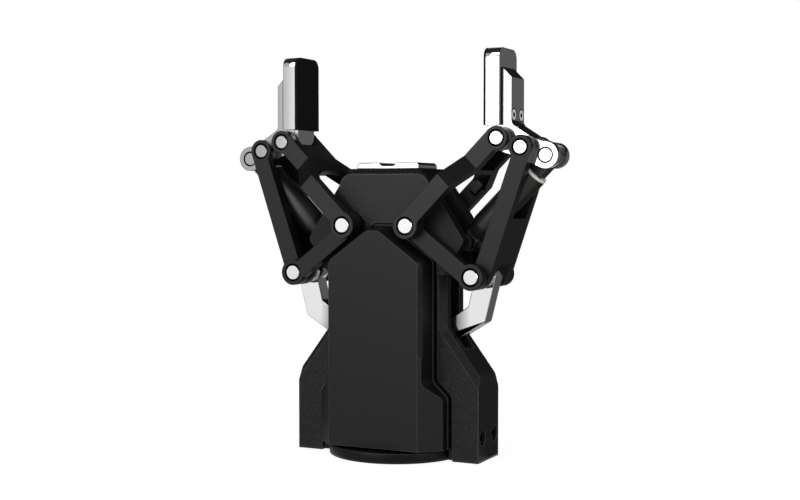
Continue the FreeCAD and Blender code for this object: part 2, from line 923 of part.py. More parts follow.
def lever_spacers():
    tubes = []
    for y0, y1 in ((-bracket_half, -rod_half - side_gap), (rod_half + side_gap, bracket_half)):
        tube = pin(pivot_lever, spacer_r, y0, y1)
        tube = tube.cut(pin(pivot_lever, main_pin_r + pin_gap, y0 - 1, y1 + 1))
        tubes.append(tube)
    return Part.makeCompound(tubes)


# parts

save("base_flange", base_flange())
save("main_housing", main_housing())
save("side_screws", side_screws())
save("upper_frame", upper_frame())
save("palm_plate", palm_plate())
front_lower = lower_cover()
socket_hole = Part.makeCylinder(socket_barrel_r, 10, Vec(0, cover_front - 6, socket_z), ALONG_Y)
save("front_lower_cover", front_lower)
save("rear_lower_cover", mirror_y(front_lower).cut(socket_hole))
front_upper = upper_cover()
save("front_upper_cover", front_upper)
save("rear_upper_cover", mirror_y(front_upper))
save("motor", motor())
save("lower_bearing", bearing(low_bearing_r, journal_r, low_bearing_z))
save("upper_bearing", bearing(top_bearing_r, top_journal_r, top_bearing_z))
save("drive_screw", drive_screw())
save("drive_nut", drive_nut())
save("control_board", control_board())
save("cable_socket", cable_socket())

lever = drive_lever()
save_pair("finger_link", finger_link())
save_pair("front_lever", lever)
save_pair("rear_lever", mirror_y(lever))
save_pair("outer_link", outer_link())
save_pair("finger_bracket", finger_bracket())
save_pair("fingertip", fingertip())
save_pair("rubber_pad", rubber_pad())
save_pair("tip_screws", tip_screws())
save_pair("strut_barrel", strut_barrel())
save_pair("strut_ring", strut_ring())
save_pair("strut_rod", strut_rod())
save_pair("strut_spring", strut_spring())
save_pair("drive_rod", drive_rod())
save_pair("lever_spacers", lever_spacers())
save_pair("frame_pin", flush_pin(pivot_frame, main_pin_r, outer_layer[1]))
save_pair("lever_pin", flush_pin(pivot_lever, main_pin_r, lever_layer[1]))
save_pair("outer_pin", flush_pin(pivot_outer, finger_pin_r, inner_layer[1]))
save_pair("finger_pin", flush_pin(pivot_finger, finger_pin_r, inner_layer[1]))
save_pair("ear_pin", flush_pin(pivot_ear, finger_pin_r, bracket_half))
save_pair("strut_pin", pin(pivot_strut, strut_pin_r, -frame_inner - 2, frame_inner + 2))
save_pair("nut_pin", pin(pivot_nut, nut_pin_r, -nut_side, nut_side))
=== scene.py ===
import bpy
import json
import math
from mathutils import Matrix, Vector


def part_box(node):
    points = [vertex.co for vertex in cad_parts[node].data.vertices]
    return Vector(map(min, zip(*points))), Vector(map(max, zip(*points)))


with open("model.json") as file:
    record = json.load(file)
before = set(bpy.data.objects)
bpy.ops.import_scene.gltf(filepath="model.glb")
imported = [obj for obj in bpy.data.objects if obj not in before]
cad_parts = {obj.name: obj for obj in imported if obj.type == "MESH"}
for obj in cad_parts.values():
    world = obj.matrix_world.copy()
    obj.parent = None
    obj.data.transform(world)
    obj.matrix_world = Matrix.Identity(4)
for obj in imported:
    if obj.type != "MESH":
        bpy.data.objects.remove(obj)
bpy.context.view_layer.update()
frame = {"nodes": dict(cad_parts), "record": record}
cadNodes = frame["nodes"]
slotOf = {part["node"]: part["material_slot"] for part in frame["record"]["subparts"]}
print("frame loaded with", len(cadNodes), "nodes")

# the camera as the photograph was taken
cameraView = {
    "place": (0.2736, -0.5557, 0.1196),
    "turn": 26.09,
    "tilt": 2.36,
    "focal": 60.03,
    "sensorWidth": 36.0,
    "nearest": 0.01,
    "farthest": 50.0,
}


def makeCamera(view):
    data = bpy.data.cameras.new("photoCamera")
    data.lens = view["focal"]
    data.sensor_width = view["sensorWidth"]
    data.clip_start = view["nearest"]
    data.clip_end = view["farthest"]
    camera = bpy.data.objects.new("photoCamera", data)
    bpy.context.scene.collection.objects.link(camera)
    camera.location = view["place"]
    camera.rotation_euler = (math.radians(90 - view["tilt"]), 0, math.radians(view["turn"]))
    bpy.context.scene.camera = camera


makeCamera(cameraView)
bpy.context.scene.view_settings.view_transform = "Standard"
print("camera set")


# shared shader groups

def newGroup(name, inputs, outputs):
    # an input called Vector carries a place, every other socket a number
    group = bpy.data.node_groups.new(name, "ShaderNodeTree")
    for label in inputs:
        kind = "NodeSocketVector" if label == "Vector" else "NodeSocketFloat"
        group.interface.new_socket(name=label, in_out="INPUT", socket_type=kind)
    for label in outputs:
        group.interface.new_socket(name=label, in_out="OUTPUT", socket_type="NodeSocketFloat")
    start = group.nodes.new("NodeGroupInput")
    end = group.nodes.new("NodeGroupOutput")
    start.location = (-900, 0)
    end.location = (500, 0)
    return group, start, end


def addNode(tree, kind, spot, **values):
    node = tree.nodes.new(kind)
    node.location = spot
    for key, value in values.items():
        setattr(node, key, value)
    return node


def setInputs(node, values):
    for key, value in values.items():
        node.inputs[key].default_value = value


edgeLook = {
    "samples": 4,
    "patches": {"Scale": 160.0, "Detail": 5.0},
    "patchRange": {"From Min": 0.3, "From Max": 0.7, "To Min": 0.35},
}


def makeEdgeWearAndShading(look):
    # worn corners together with painted edge shading, pale lines on the coats and dark outlines on
    # the links and bright metals: where the rounded normal leaves the true one, broken up into
    # patches
    group, start, end = newGroup("edgeWearAndShadingMask", ["Vector", "Width", "Gain"], ["Mask"])
    rounded = addNode(group, "ShaderNodeBevel", (-650, 100), samples=look["samples"])
    surface = addNode(group, "ShaderNodeNewGeometry", (-650, -150))
    match = addNode(group, "ShaderNodeVectorMath", (-430, 0), operation="DOT_PRODUCT")
    away = addNode(group, "ShaderNodeMath", (-250, 0), operation="SUBTRACT")
    away.inputs[0].default_value = 1.0
    scaled = addNode(group, "ShaderNodeMath", (-80, 0), operation="MULTIPLY")
    broken = addNode(group, "ShaderNodeTexNoise", (-430, -250))
    setInputs(broken, look["patches"])
    patch = addNode(group, "ShaderNodeMapRange", (-250, -250))
    setInputs(patch, look["patchRange"])
    mixed = addNode(group, "ShaderNodeMath", (100, 0), operation="MULTIPLY", use_clamp=True)
    group.links.new(start.outputs["Width"], rounded.inputs["Radius"])
    group.links.new(rounded.outputs["Normal"], match.inputs[0])
    group.links.new(surface.outputs["Normal"], match.inputs[1])
    group.links.new(match.outputs["Value"], away.inputs[1])
    group.links.new(away.outputs[0], scaled.inputs[0])
    group.links.new(start.outputs["Gain"], scaled.inputs[1])
    group.links.new(start.outputs["Vector"], broken.inputs["Vector"])
    group.links.new(broken.outputs["Fac"], patch.inputs["Value"])
    group.links.new(scaled.outputs[0], mixed.inputs[0])
    group.links.new(patch.outputs["Result"], mixed.inputs[1])
    group.links.new(mixed.outputs[0], end.inputs["Mask"])
    return group


grainLook = {
    "soft": {"Detail": 3.0, "Roughness": 0.6},
    "softShare": 0.6,
    "speckRange": {"From Min": 0.56, "From Max": 0.74},
}


def makeCastGrain(look):
    # the fine relief of a cast or sprayed face, with its brightest specks
    group, start, end = newGroup("castGrain", ["Vector", "Scale"], ["Height", "Speck"])
    cells = addNode(group, "ShaderNodeTexVoronoi", (-550, 100), feature="SMOOTH_F1")
    soft = addNode(group, "ShaderNodeTexNoise", (-550, -200))
    setInputs(soft, look["soft"])
    part = addNode(group, "ShaderNodeMath", (-750, -200), operation="MULTIPLY")
    part.inputs[1].default_value = look["softShare"]
    both = addNode(group, "ShaderNodeMath", (-250, 0), operation="ADD")
    speck = addNode(group, "ShaderNodeMapRange", (-250, -250))
    setInputs(speck, look["speckRange"])
    group.links.new(start.outputs["Vector"], cells.inputs["Vector"])
    group.links.new(start.outputs["Scale"], cells.inputs["Scale"])
    group.links.new(start.outputs["Scale"], part.inputs[0])
    group.links.new(part.outputs[0], soft.inputs["Scale"])
    group.links.new(start.outputs["Vector"], soft.inputs["Vector"])
    group.links.new(cells.outputs["Distance"], both.inputs[0])
    group.links.new(soft.outputs["Fac"], both.inputs[1])
    group.links.new(soft.outputs["Fac"], speck.inputs["Value"])
    group.links.new(both.outputs[0], end.inputs["Height"])
    group.links.new(speck.outputs["Result"], end.inputs["Speck"])
    return group


handlingLook = {
    "cloud": {"Detail": 4.0, "Distortion": 0.6},
    "stretch": {"Scale": (1.0, 1.0, 26.0), "Rotation": (0.5, 0.2, 0.3)},
    "lines": {"Detail": 2.0, "Scale": 60.0},
    "thinRange": {"From Min": 0.68, "From Max": 0.74},
}


def makeHandling(look):
    # broad clouds and thin scratches, from use
    group, start, end = newGroup("handling", ["Vector", "Scale"], ["Cloud", "Scratch"])
    cloud = addNode(group, "ShaderNodeTexNoise", (-550, 150))
    setInputs(cloud, look["cloud"])
    stretch = addNode(group, "ShaderNodeMapping", (-700, -150))
    setInputs(stretch, look["stretch"])
    lines = addNode(group, "ShaderNodeTexNoise", (-480, -150))
    setInputs(lines, look["lines"])
    thin = addNode(group, "ShaderNodeMapRange", (-250, -150))
    setInputs(thin, look["thinRange"])
    group.links.new(start.outputs["Vector"], cloud.inputs["Vector"])
    group.links.new(start.outputs["Scale"], cloud.inputs["Scale"])
    group.links.new(start.outputs["Vector"], stretch.inputs["Vector"])
    group.links.new(stretch.outputs["Vector"], lines.inputs["Vector"])
    group.links.new(lines.outputs["Fac"], thin.inputs["Value"])
    group.links.new(cloud.outputs["Fac"], end.inputs["Cloud"])
    group.links.new(thin.outputs["Result"], end.inputs["Scratch"])
    return group


cutLook = {"Detail": 6.0, "Roughness": 0.7}


def makeCutLines(look):
    # the fine lines that a cutter leaves; the caller stretches the place along them
    group, start, end = newGroup("cutLines", ["Vector", "Fine"], ["Lines"])
    wide = addNode(group, "ShaderNodeTexNoise", (-550, 100))
    setInputs(wide, look)
    group.links.new(start.outputs["Vector"], wide.inputs["Vector"])
    group.links.new(start.outputs["Fine"], wide.inputs["Scale"])
    group.links.new(wide.outputs["Fac"], end.inputs["Lines"])
    return group


def makeLatheRings():
    # fine rings round the Y axis of a turned end
    group, start, end = newGroup("latheRings", ["Vector", "Pitch"], ["Rings"])
    split = addNode(group, "ShaderNodeSeparateXYZ", (-700, 0))
    flat = addNode(group, "ShaderNodeCombineXYZ", (-520, 0))
    reach = addNode(group, "ShaderNodeVectorMath", (-350, 0), operation="LENGTH")
    scaled = addNode(group, "ShaderNodeMath", (-180, 0), operation="MULTIPLY")
    wave = addNode(group, "ShaderNodeMath", (0, 0), operation="SINE")
    group.links.new(start.outputs["Vector"], split.inputs[0])
    group.links.new(split.outputs["X"], flat.inputs["X"])
    group.links.new(split.outputs["Z"], flat.inputs["Z"])
    group.links.new(flat.outputs[0], reach.inputs[0])
    group.links.new(reach.outputs["Value"], scaled.inputs[0])
    group.links.new(start.outputs["Pitch"], scaled.inputs[1])
    group.links.new(scaled.outputs[0], wave.inputs[0])
    group.links.new(wave.outputs[0], end.inputs["Rings"])
    return group


# each ring is how far out and how high its centre lies, its radius and its half width
pinGaps = {
    "rings": [
        (0.0159, 0.1059, 0.0038, 0.00035),
        (0.045, 0.0835, 0.0038, 0.00035),
        (0.0657, 0.1405, 0.00345, 0.00035),
        (0.0545, 0.1446, 0.00345, 0.00035),
        (0.07535, 0.137, 0.00335, 0.0002),
    ],
    "fade": 0.0001,
}
screwGaps = {
    "rings": [
        (0.0045, 0.155, 0.0026, 0.0002),
        (0.0045, 0.155, 0.0005, 0.0006),
        (0.007, 0.011, 0.0031, 0.0002),
    ],
    "fade": 0.0001,
}


def makeGapShadeRings(name, across, look):
    # mask of painted shade in the thin gaps round pins and screw heads and in the screw sockets,
    # the same on both hands
    group, start, end = newGroup(name, ["Vector"], ["Mask"])
    split = addNode(group, "ShaderNodeSeparateXYZ", (-800, 0))
    mirrored = addNode(group, "ShaderNodeMath", (-640, 60), operation="ABSOLUTE")
    flat = addNode(group, "ShaderNodeCombineXYZ", (-480, 0))
    group.links.new(start.outputs["Vector"], split.inputs[0])
    group.links.new(split.outputs[across], mirrored.inputs[0])
    group.links.new(mirrored.outputs[0], flat.inputs["X"])
    group.links.new(split.outputs["Z"], flat.inputs["Z"])
    nearest = None
    for i, (reach, height, radius, half) in enumerate(look["rings"]):
        level = -160 * i
        away = addNode(group, "ShaderNodeVectorMath", (-300, level), operation="DISTANCE")
        away.inputs[1].default_value = (reach, 0, height)
        offset = addNode(group, "ShaderNodeMath", (-130, level), operation="SUBTRACT")
        offset.inputs[1].default_value = radius
        size = addNode(group, "ShaderNodeMath", (30, level), operation="ABSOLUTE")
        beyond = addNode(group, "ShaderNodeMath", (110, level), operation="SUBTRACT")
        beyond.inputs[1].default_value = half
        group.links.new(flat.outputs[0], away.inputs[0])
        group.links.new(away.outputs["Value"], offset.inputs[0])
        group.links.new(offset.outputs[0], size.inputs[0])
        group.links.new(size.outputs[0], beyond.inputs[0])
        if nearest is None:
            nearest = beyond
            continue
        least = addNode(group, "ShaderNodeMath", (190, level), operation="MINIMUM")
        group.links.new(nearest.outputs[0], least.inputs[0])
        group.links.new(beyond.outputs[0], least.inputs[1])
        nearest = least
    band = addNode(group, "ShaderNodeMapRange", (350, 0))
    setInputs(band, {"From Min": look["fade"], "From Max": 0.0})
    group.links.new(nearest.outputs[0], band.inputs["Value"])
    group.links.new(band.outputs["Result"], end.inputs["Mask"])
    return group


# each limit is an axis, where the strip is fully dark and where it has ended; the two hands
# mirror each other, and a minus keeps the strip to the left one
# painted shade along the upper frame's top strip, front and back, beside the palm plate
frameBand = {"limits": [("Z", 0.1292, 0.1286), ("Y", 0.0131, 0.0129)], "share": 0.6}
# painted shade on the fingertip's back face beside the rib
plateBand = {
    "limits": [("X", 0.05495, 0.0549), ("Y", 0.0088, 0.0091), ("Z", 0.1755, 0.176)],
    "share": 1.0,
}
# painted shade on the left bracket's rib beside the fingertip's plate
ribBand = {
    "limits": [("-X", 0.0549, 0.0547), ("-X", 0.0569, 0.0571), ("Z", 0.1512, 0.151)],
    "share": 0.6,
}
# painted shade on the drive rods where they go into the housing, darkest nearest the middle
rodBand = {"limits": [("X", 0.031, 0.0385), ("Z", 0.074, 0.076)], "share": 0.85}


def makeShadeBand(name, look):
    # mask of painted shade on a strip that lies in the shade of its neighbour: inside all of the
    # limits
    group, start, end = newGroup(name, ["Vector"], ["Mask"])
    split = addNode(group, "ShaderNodeSeparateXYZ", (-800, 0))
    group.links.new(start.outputs["Vector"], split.inputs[0])
    product = None
    for i, (axis, dark, light) in enumerate(look["limits"]):
        level = -180 * i
        size = addNode(group, "ShaderNodeMath", (-600, level), operation="ABSOLUTE")
        if axis.startswith("-"):
            size.operation = "MULTIPLY"
            size.inputs[1].default_value = -1.0
        ramp = addNode(group, "ShaderNodeMapRange", (-400, level))
        setInputs(ramp, {"From Min": light, "From Max": dark})
        group.links.new(split.outputs[axis[-1]], size.inputs[0])
        group.links.new(size.outputs[0], ramp.inputs["Value"])
        if product is None:
            product = ramp
            continue
        both = addNode(group, "ShaderNodeMath", (-200, level), operation="MULTIPLY")
        group.links.new(product.outputs[0], both.inputs[0])
        group.links.new(ramp.outputs[0], both.inputs[1])
        product = both
    part = addNode(group, "ShaderNodeMath", (200, 0), operation="MULTIPLY")
    part.inputs[1].default_value = look["share"]
    group.links.new(product.outputs[0], part.inputs[0])
    group.links.new(part.outputs[0], end.inputs["Mask"])
    return group


edgeWearAndShadingMask = makeEdgeWearAndShading(edgeLook)
castGrain = makeCastGrain(grainLook)
handling = makeHandling(handlingLook)
cutLines = makeCutLines(cutLook)
latheRings = makeLatheRings()
pinGapShade = makeGapShadeRings("pinGapShade", "X", pinGaps)
screwGapShade = makeGapShadeRings("screwGapShade", "Y", screwGaps)
frameShade = makeShadeBand("frameShade", frameBand)
plateShade = makeShadeBand("plateShade", plateBand)
ribShade = makeShadeBand("ribShade", ribBand)
rodShade = makeShadeBand("rodShade", rodBand)
print("shader groups made")


# finishes

# near black colour of all painted shade: gaps, screw sockets and shaded strips
paintedShadeTone = (0.0015, 0.0015, 0.0015)


def newMaterial(name):
    material = bpy.data.materials.new(name)
    material.use_nodes = True
    tree = material.node_tree
    surface = tree.nodes["Principled BSDF"]
    where = addNode(tree, "ShaderNodeTexCoord", (-1400, 0))
    return material, tree, surface, where.outputs["Object"]


def placeGroup(tree, group, spot, point, **values):
    node = addNode(tree, "ShaderNodeGroup", spot, node_tree=group)
    setInputs(node, values)
    tree.links.new(point, node.inputs["Vector"])
    return node


def mixColour(tree, spot, first, second, factor):
    # the first is a colour or the socket that gives one
    node = addNode(tree, "ShaderNodeMix", spot, data_type="RGBA")
    if isinstance(first, tuple):
        node.inputs["A"].default_value = (*first, 1)
    else:
        tree.links.new(first, node.inputs["A"])
    node.inputs["B"].default_value = (*second, 1)
    tree.links.new(factor, node.inputs["Factor"])
    return node.outputs["Result"]


def spreadRough(tree, look, value, least=0.0):
    node = addNode(tree, "ShaderNodeMapRange", (-600, 0))
    smooth, dull = look["rough"]
    setInputs(node, {"From Min": least, "To Min": smooth, "To Max": dull})
    tree.links.new(value, node.inputs["Value"])
    return node.outputs["Result"]


def addRelief(tree, surface, look, height):
    node = addNode(tree, "ShaderNodeBump", (-350, -300))
    setInputs(node, {"Strength": look["bump"], "Distance": look["relief"]})
    tree.links.new(height, node.inputs["Height"])
    tree.links.new(node.outputs["Normal"], surface.inputs["Normal"])


def paintShadeMasks(tree, surface, wearAndEdgeShading, groups, point):
    # the strongest of the masks blackens the colour, as painted shade
    strongest = None
    for i, group in enumerate(groups):
        level = 550 + 150 * i
        paintedShade = placeGroup(tree, group, (-500, level), point)
        if strongest is None:
            strongest = paintedShade
            continue
        both = addNode(tree, "ShaderNodeMath", (-300, level), operation="MAXIMUM")
        tree.links.new(strongest.outputs[0], both.inputs[0])
        tree.links.new(paintedShade.outputs[0], both.inputs[1])
        strongest = both
    dark = mixColour(tree, (-100, 300), wearAndEdgeShading, paintedShadeTone, strongest.outputs[0])
    tree.links.new(dark, surface.inputs["Base Color"])
    return strongest.outputs[0]


def coatedBlack(name, look):
    material, tree, surface, point = newMaterial(name)
    hands = placeGroup(tree, handling, (-1100, 300), point, Scale=look["cloudScale"])
    edges = placeGroup(tree, edgeWearAndShadingMask, (-1100, 0), point,
                       Width=look["edgeWidth"], Gain=look["edgeGain"])
    grain = placeGroup(tree, castGrain, (-1100, -300), point, Scale=look["grainScale"])
    amount = addNode(tree, "ShaderNodeMath", (-700, 80), operation="MULTIPLY")
    amount.inputs[1].default_value = look["speckAmount"]
    tree.links.new(grain.outputs["Speck"], amount.inputs[0])
    tone = mixColour(tree, (-700, 300), look["dark"], look["light"], hands.outputs["Cloud"])
    speck = mixColour(tree, (-500, 300), tone, look["speck"], amount.outputs[0])
    # the edge colour is wear together with painted edge shading
    wearAndEdgeShading = mixColour(tree, (-300, 300), speck, look["edge"], edges.outputs["Mask"])
    tree.links.new(wearAndEdgeShading, surface.inputs["Base Color"])
    tree.links.new(spreadRough(tree, look, hands.outputs["Cloud"]), surface.inputs["Roughness"])
    addRelief(tree, surface, look, grain.outputs["Height"])
    surface.inputs["Specular IOR Level"].default_value = look["specular"]
    if "coat" in look:
        setInputs(surface, {"Coat Weight": look["coat"], "Coat Roughness": look["coatRough"]})
    if "shadeMasks" in look:
        # metallic takes the last sheen off the painted shade and, on the links, off the edges,
        # which paints dark outlines there
        paintedShade = paintShadeMasks(tree, surface, wearAndEdgeShading, look["shadeMasks"], point)
        dull = addNode(tree, "ShaderNodeMath", (-100, -150), operation="MULTIPLY_ADD",
                       use_clamp=True)
        dull.inputs[1].default_value = look["edgeDulls"]
        tree.links.new(edges.outputs["Mask"], dull.inputs[0])
        tree.links.new(paintedShade, dull.inputs[2])
        tree.links.new(dull.outputs[0], surface.inputs["Metallic"])
    return material


def cutMetal(name, look):
    material, tree, surface, point = newMaterial(name)
    hands = placeGroup(tree, handling, (-1100, 300), point, Scale=look["cloudScale"])
    edges = placeGroup(tree, edgeWearAndShadingMask, (-1100, 0), point,
                       Width=look["edgeWidth"], Gain=look["edgeGain"])
    stretch = addNode(tree, "ShaderNodeMapping", (-1250, -300))
    stretch.inputs["Scale"].default_value = look["stretch"]
    tree.links.new(point, stretch.inputs["Vector"])
    cuts = placeGroup(tree, cutLines, (-1050, -300), stretch.outputs["Vector"],
                      Fine=look["fine"])
    lines = cuts.outputs["Lines"]
    tone = mixColour(tree, (-700, 300), look["dark"], look["light"], lines)
    # the edge colour is wear together with painted edge shading
    wearAndEdgeShading = mixColour(tree, (-400, 300), tone, look["edge"], edges.outputs["Mask"])
    tree.links.new(wearAndEdgeShading, surface.inputs["Base Color"])
    marked = addNode(tree, "ShaderNodeMath", (-400, 0), operation="MULTIPLY_ADD",
                     use_clamp=True)
    marked.inputs[1].default_value = look["scratch"]
    tree.links.new(hands.outputs["Scratch"], marked.inputs[0])
    tree.links.new(spreadRough(tree, look, lines), marked.inputs[2])
    tree.links.new(marked.outputs[0], surface.inputs["Roughness"])
    addRelief(tree, surface, look, lines)
    surface.inputs["Metallic"].default_value = look.get("metallic", 1.0)
    if "shadeMasks" in look:
        paintShadeMasks(tree, surface, wearAndEdgeShading, look["shadeMasks"], point)
    return material


def turnedMetal(name, look, centre):
    material, tree, surface, point = newMaterial(name)
    middle = addNode(tree, "ShaderNodeMapping", (-1200, -200))
    middle.inputs["Location"].default_value = (-centre[0], -centre[1], -centre[2])
    tree.links.new(point, middle.inputs["Vector"])
    turned = placeGroup(tree, latheRings, (-950, -200), middle.outputs["Vector"],
                        Pitch=look["pitch"])
    rings = turned.outputs["Rings"]
    hands = placeGroup(tree, handling, (-950, 250), point, Scale=look["cloudScale"])
    tone = mixColour(tree, (-600, 300), look["dark"], look["light"], hands.outputs["Cloud"])
    tree.links.new(tone, surface.inputs["Base Color"])
    rough = spreadRough(tree, look, rings, least=-1.0)
    tree.links.new(rough, surface.inputs["Roughness"])
    addRelief(tree, surface, look, rings)
    surface.inputs["Metallic"].default_value = 1.0
    return material


blackLooks = {
    "body_black": {
        "dark": (0.004, 0.004, 0.0042), "light": (0.007, 0.007, 0.0072), "edge": (0.13, 0.13, 0.13),
        "speck": (0.05, 0.05, 0.051), "speckAmount": 0.75, "cloudScale": 22.0, "edgeWidth": 0.0005,
        "edgeGain": 14.0, "grainScale": 2300.0, "bump": 0.55, "relief": 0.00016,
        "rough": (0.42, 0.55), "specular": 0.32,
    },
    "cover_black": {
        "dark": (0.004, 0.004, 0.0042), "light": (0.006, 0.006, 0.0062), "edge": (0.08, 0.08, 0.08),
        "speck": (0.028, 0.028, 0.028), "speckAmount": 0.25, "cloudScale": 14.0,
        "edgeWidth": 0.0005, "edgeGain": 12.0, "grainScale": 3200.0, "bump": 0.18,
        "relief": 0.00005, "rough": (0.36, 0.46), "specular": 0.35,
    },
    "upper_black": {
        "dark": (0.005, 0.0049, 0.005), "light": (0.008, 0.0078, 0.008), "edge": (0.2, 0.2, 0.2),
        "speck": (0.06, 0.06, 0.06), "speckAmount": 0.25, "cloudScale": 20.0, "edgeWidth": 0.0005,
        "edgeGain": 16.0, "grainScale": 1700.0, "bump": 0.45, "relief": 0.00012,
        "rough": (0.42, 0.52), "specular": 0.46,
    },
    "link_black": {
        "dark": (0.004, 0.0039, 0.004), "light": (0.007, 0.0068, 0.007),
        "edge": (0.002, 0.002, 0.002), "speck": (0.03, 0.03, 0.03), "speckAmount": 0.25,
        "cloudScale": 30.0, "edgeWidth": 0.00045, "edgeGain": 9.0, "grainScale": 2800.0,
        "bump": 0.2, "relief": 0.00005, "rough": (0.36, 0.46), "specular": 0.49, "edgeDulls": 1.0,
        "shadeMasks": [pinGapShade],
    },
    "lever_black": {
        "dark": (0.004, 0.0039, 0.004), "light": (0.007, 0.0068, 0.007),
        "edge": (0.002, 0.002, 0.002), "speck": (0.03, 0.03, 0.03), "speckAmount": 0.25,
        "cloudScale": 30.0, "edgeWidth": 0.00045, "edgeGain": 9.0, "grainScale": 2800.0,
        "bump": 0.2, "relief": 0.00005, "rough": (0.36, 0.46), "specular": 0.4, "edgeDulls": 1.0,
        "shadeMasks": [pinGapShade],
    },
    "frame_black": {
        "dark": (0.004, 0.004, 0.0042), "light": (0.007, 0.007, 0.0072),
        "edge": (0.08, 0.08, 0.081), "speck": (0.03, 0.03, 0.03), "speckAmount": 0.4,
        "cloudScale": 22.0, "edgeWidth": 0.0004, "edgeGain": 8.0, "grainScale": 1500.0, "bump": 0.5,
        "relief": 0.00014, "rough": (0.42, 0.55), "specular": 0.32, "edgeDulls": 0.0,
        "shadeMasks": [frameShade],
    },
    "flange_black": {
        "dark": (0.003, 0.003, 0.0032), "light": (0.005, 0.005, 0.0052), "edge": (0.1, 0.1, 0.1),
        "speck": (0.03, 0.03, 0.03), "speckAmount": 0.2, "cloudScale": 24.0, "edgeWidth": 0.0004,
        "edgeGain": 12.0, "grainScale": 2400.0, "bump": 0.2, "relief": 0.00005,
        "rough": (0.34, 0.45), "specular": 0.2,
    },
    "barrel_gloss": {
        "dark": (0.004, 0.004, 0.0042), "light": (0.006, 0.006, 0.0062),
        "edge": (0.04, 0.04, 0.041), "speck": (0.012, 0.012, 0.012), "speckAmount": 0.1,
        "cloudScale": 40.0, "edgeWidth": 0.0003, "edgeGain": 4.0, "grainScale": 4200.0,
        "bump": 0.03, "relief": 0.00002, "rough": (0.36, 0.44), "specular": 0.75,
    },
    "pad_rubber": {
        "dark": (0.003, 0.003, 0.003), "light": (0.006, 0.006, 0.006), "edge": (0.03, 0.03, 0.03),
        "speck": (0.02, 0.02, 0.02), "speckAmount": 0.4, "cloudScale": 60.0, "edgeWidth": 0.0003,
        "edgeGain": 4.0, "grainScale": 2600.0, "bump": 0.5, "relief": 0.0001, "rough": (0.7, 0.85),
        "specular": 0.15,
    },
    "board_green": {
        "dark": (0.012, 0.08, 0.03), "light": (0.02, 0.13, 0.05), "edge": (0.3, 0.32, 0.25),
        "speck": (0.5, 0.42, 0.2), "speckAmount": 0.5, "cloudScale": 90.0, "edgeWidth": 0.0003,
        "edgeGain": 4.0, "grainScale": 700.0, "bump": 0.3, "relief": 0.0001, "rough": (0.35, 0.5),
        "specular": 0.5, "coat": 0.1, "coatRough": 0.2,
    },
}

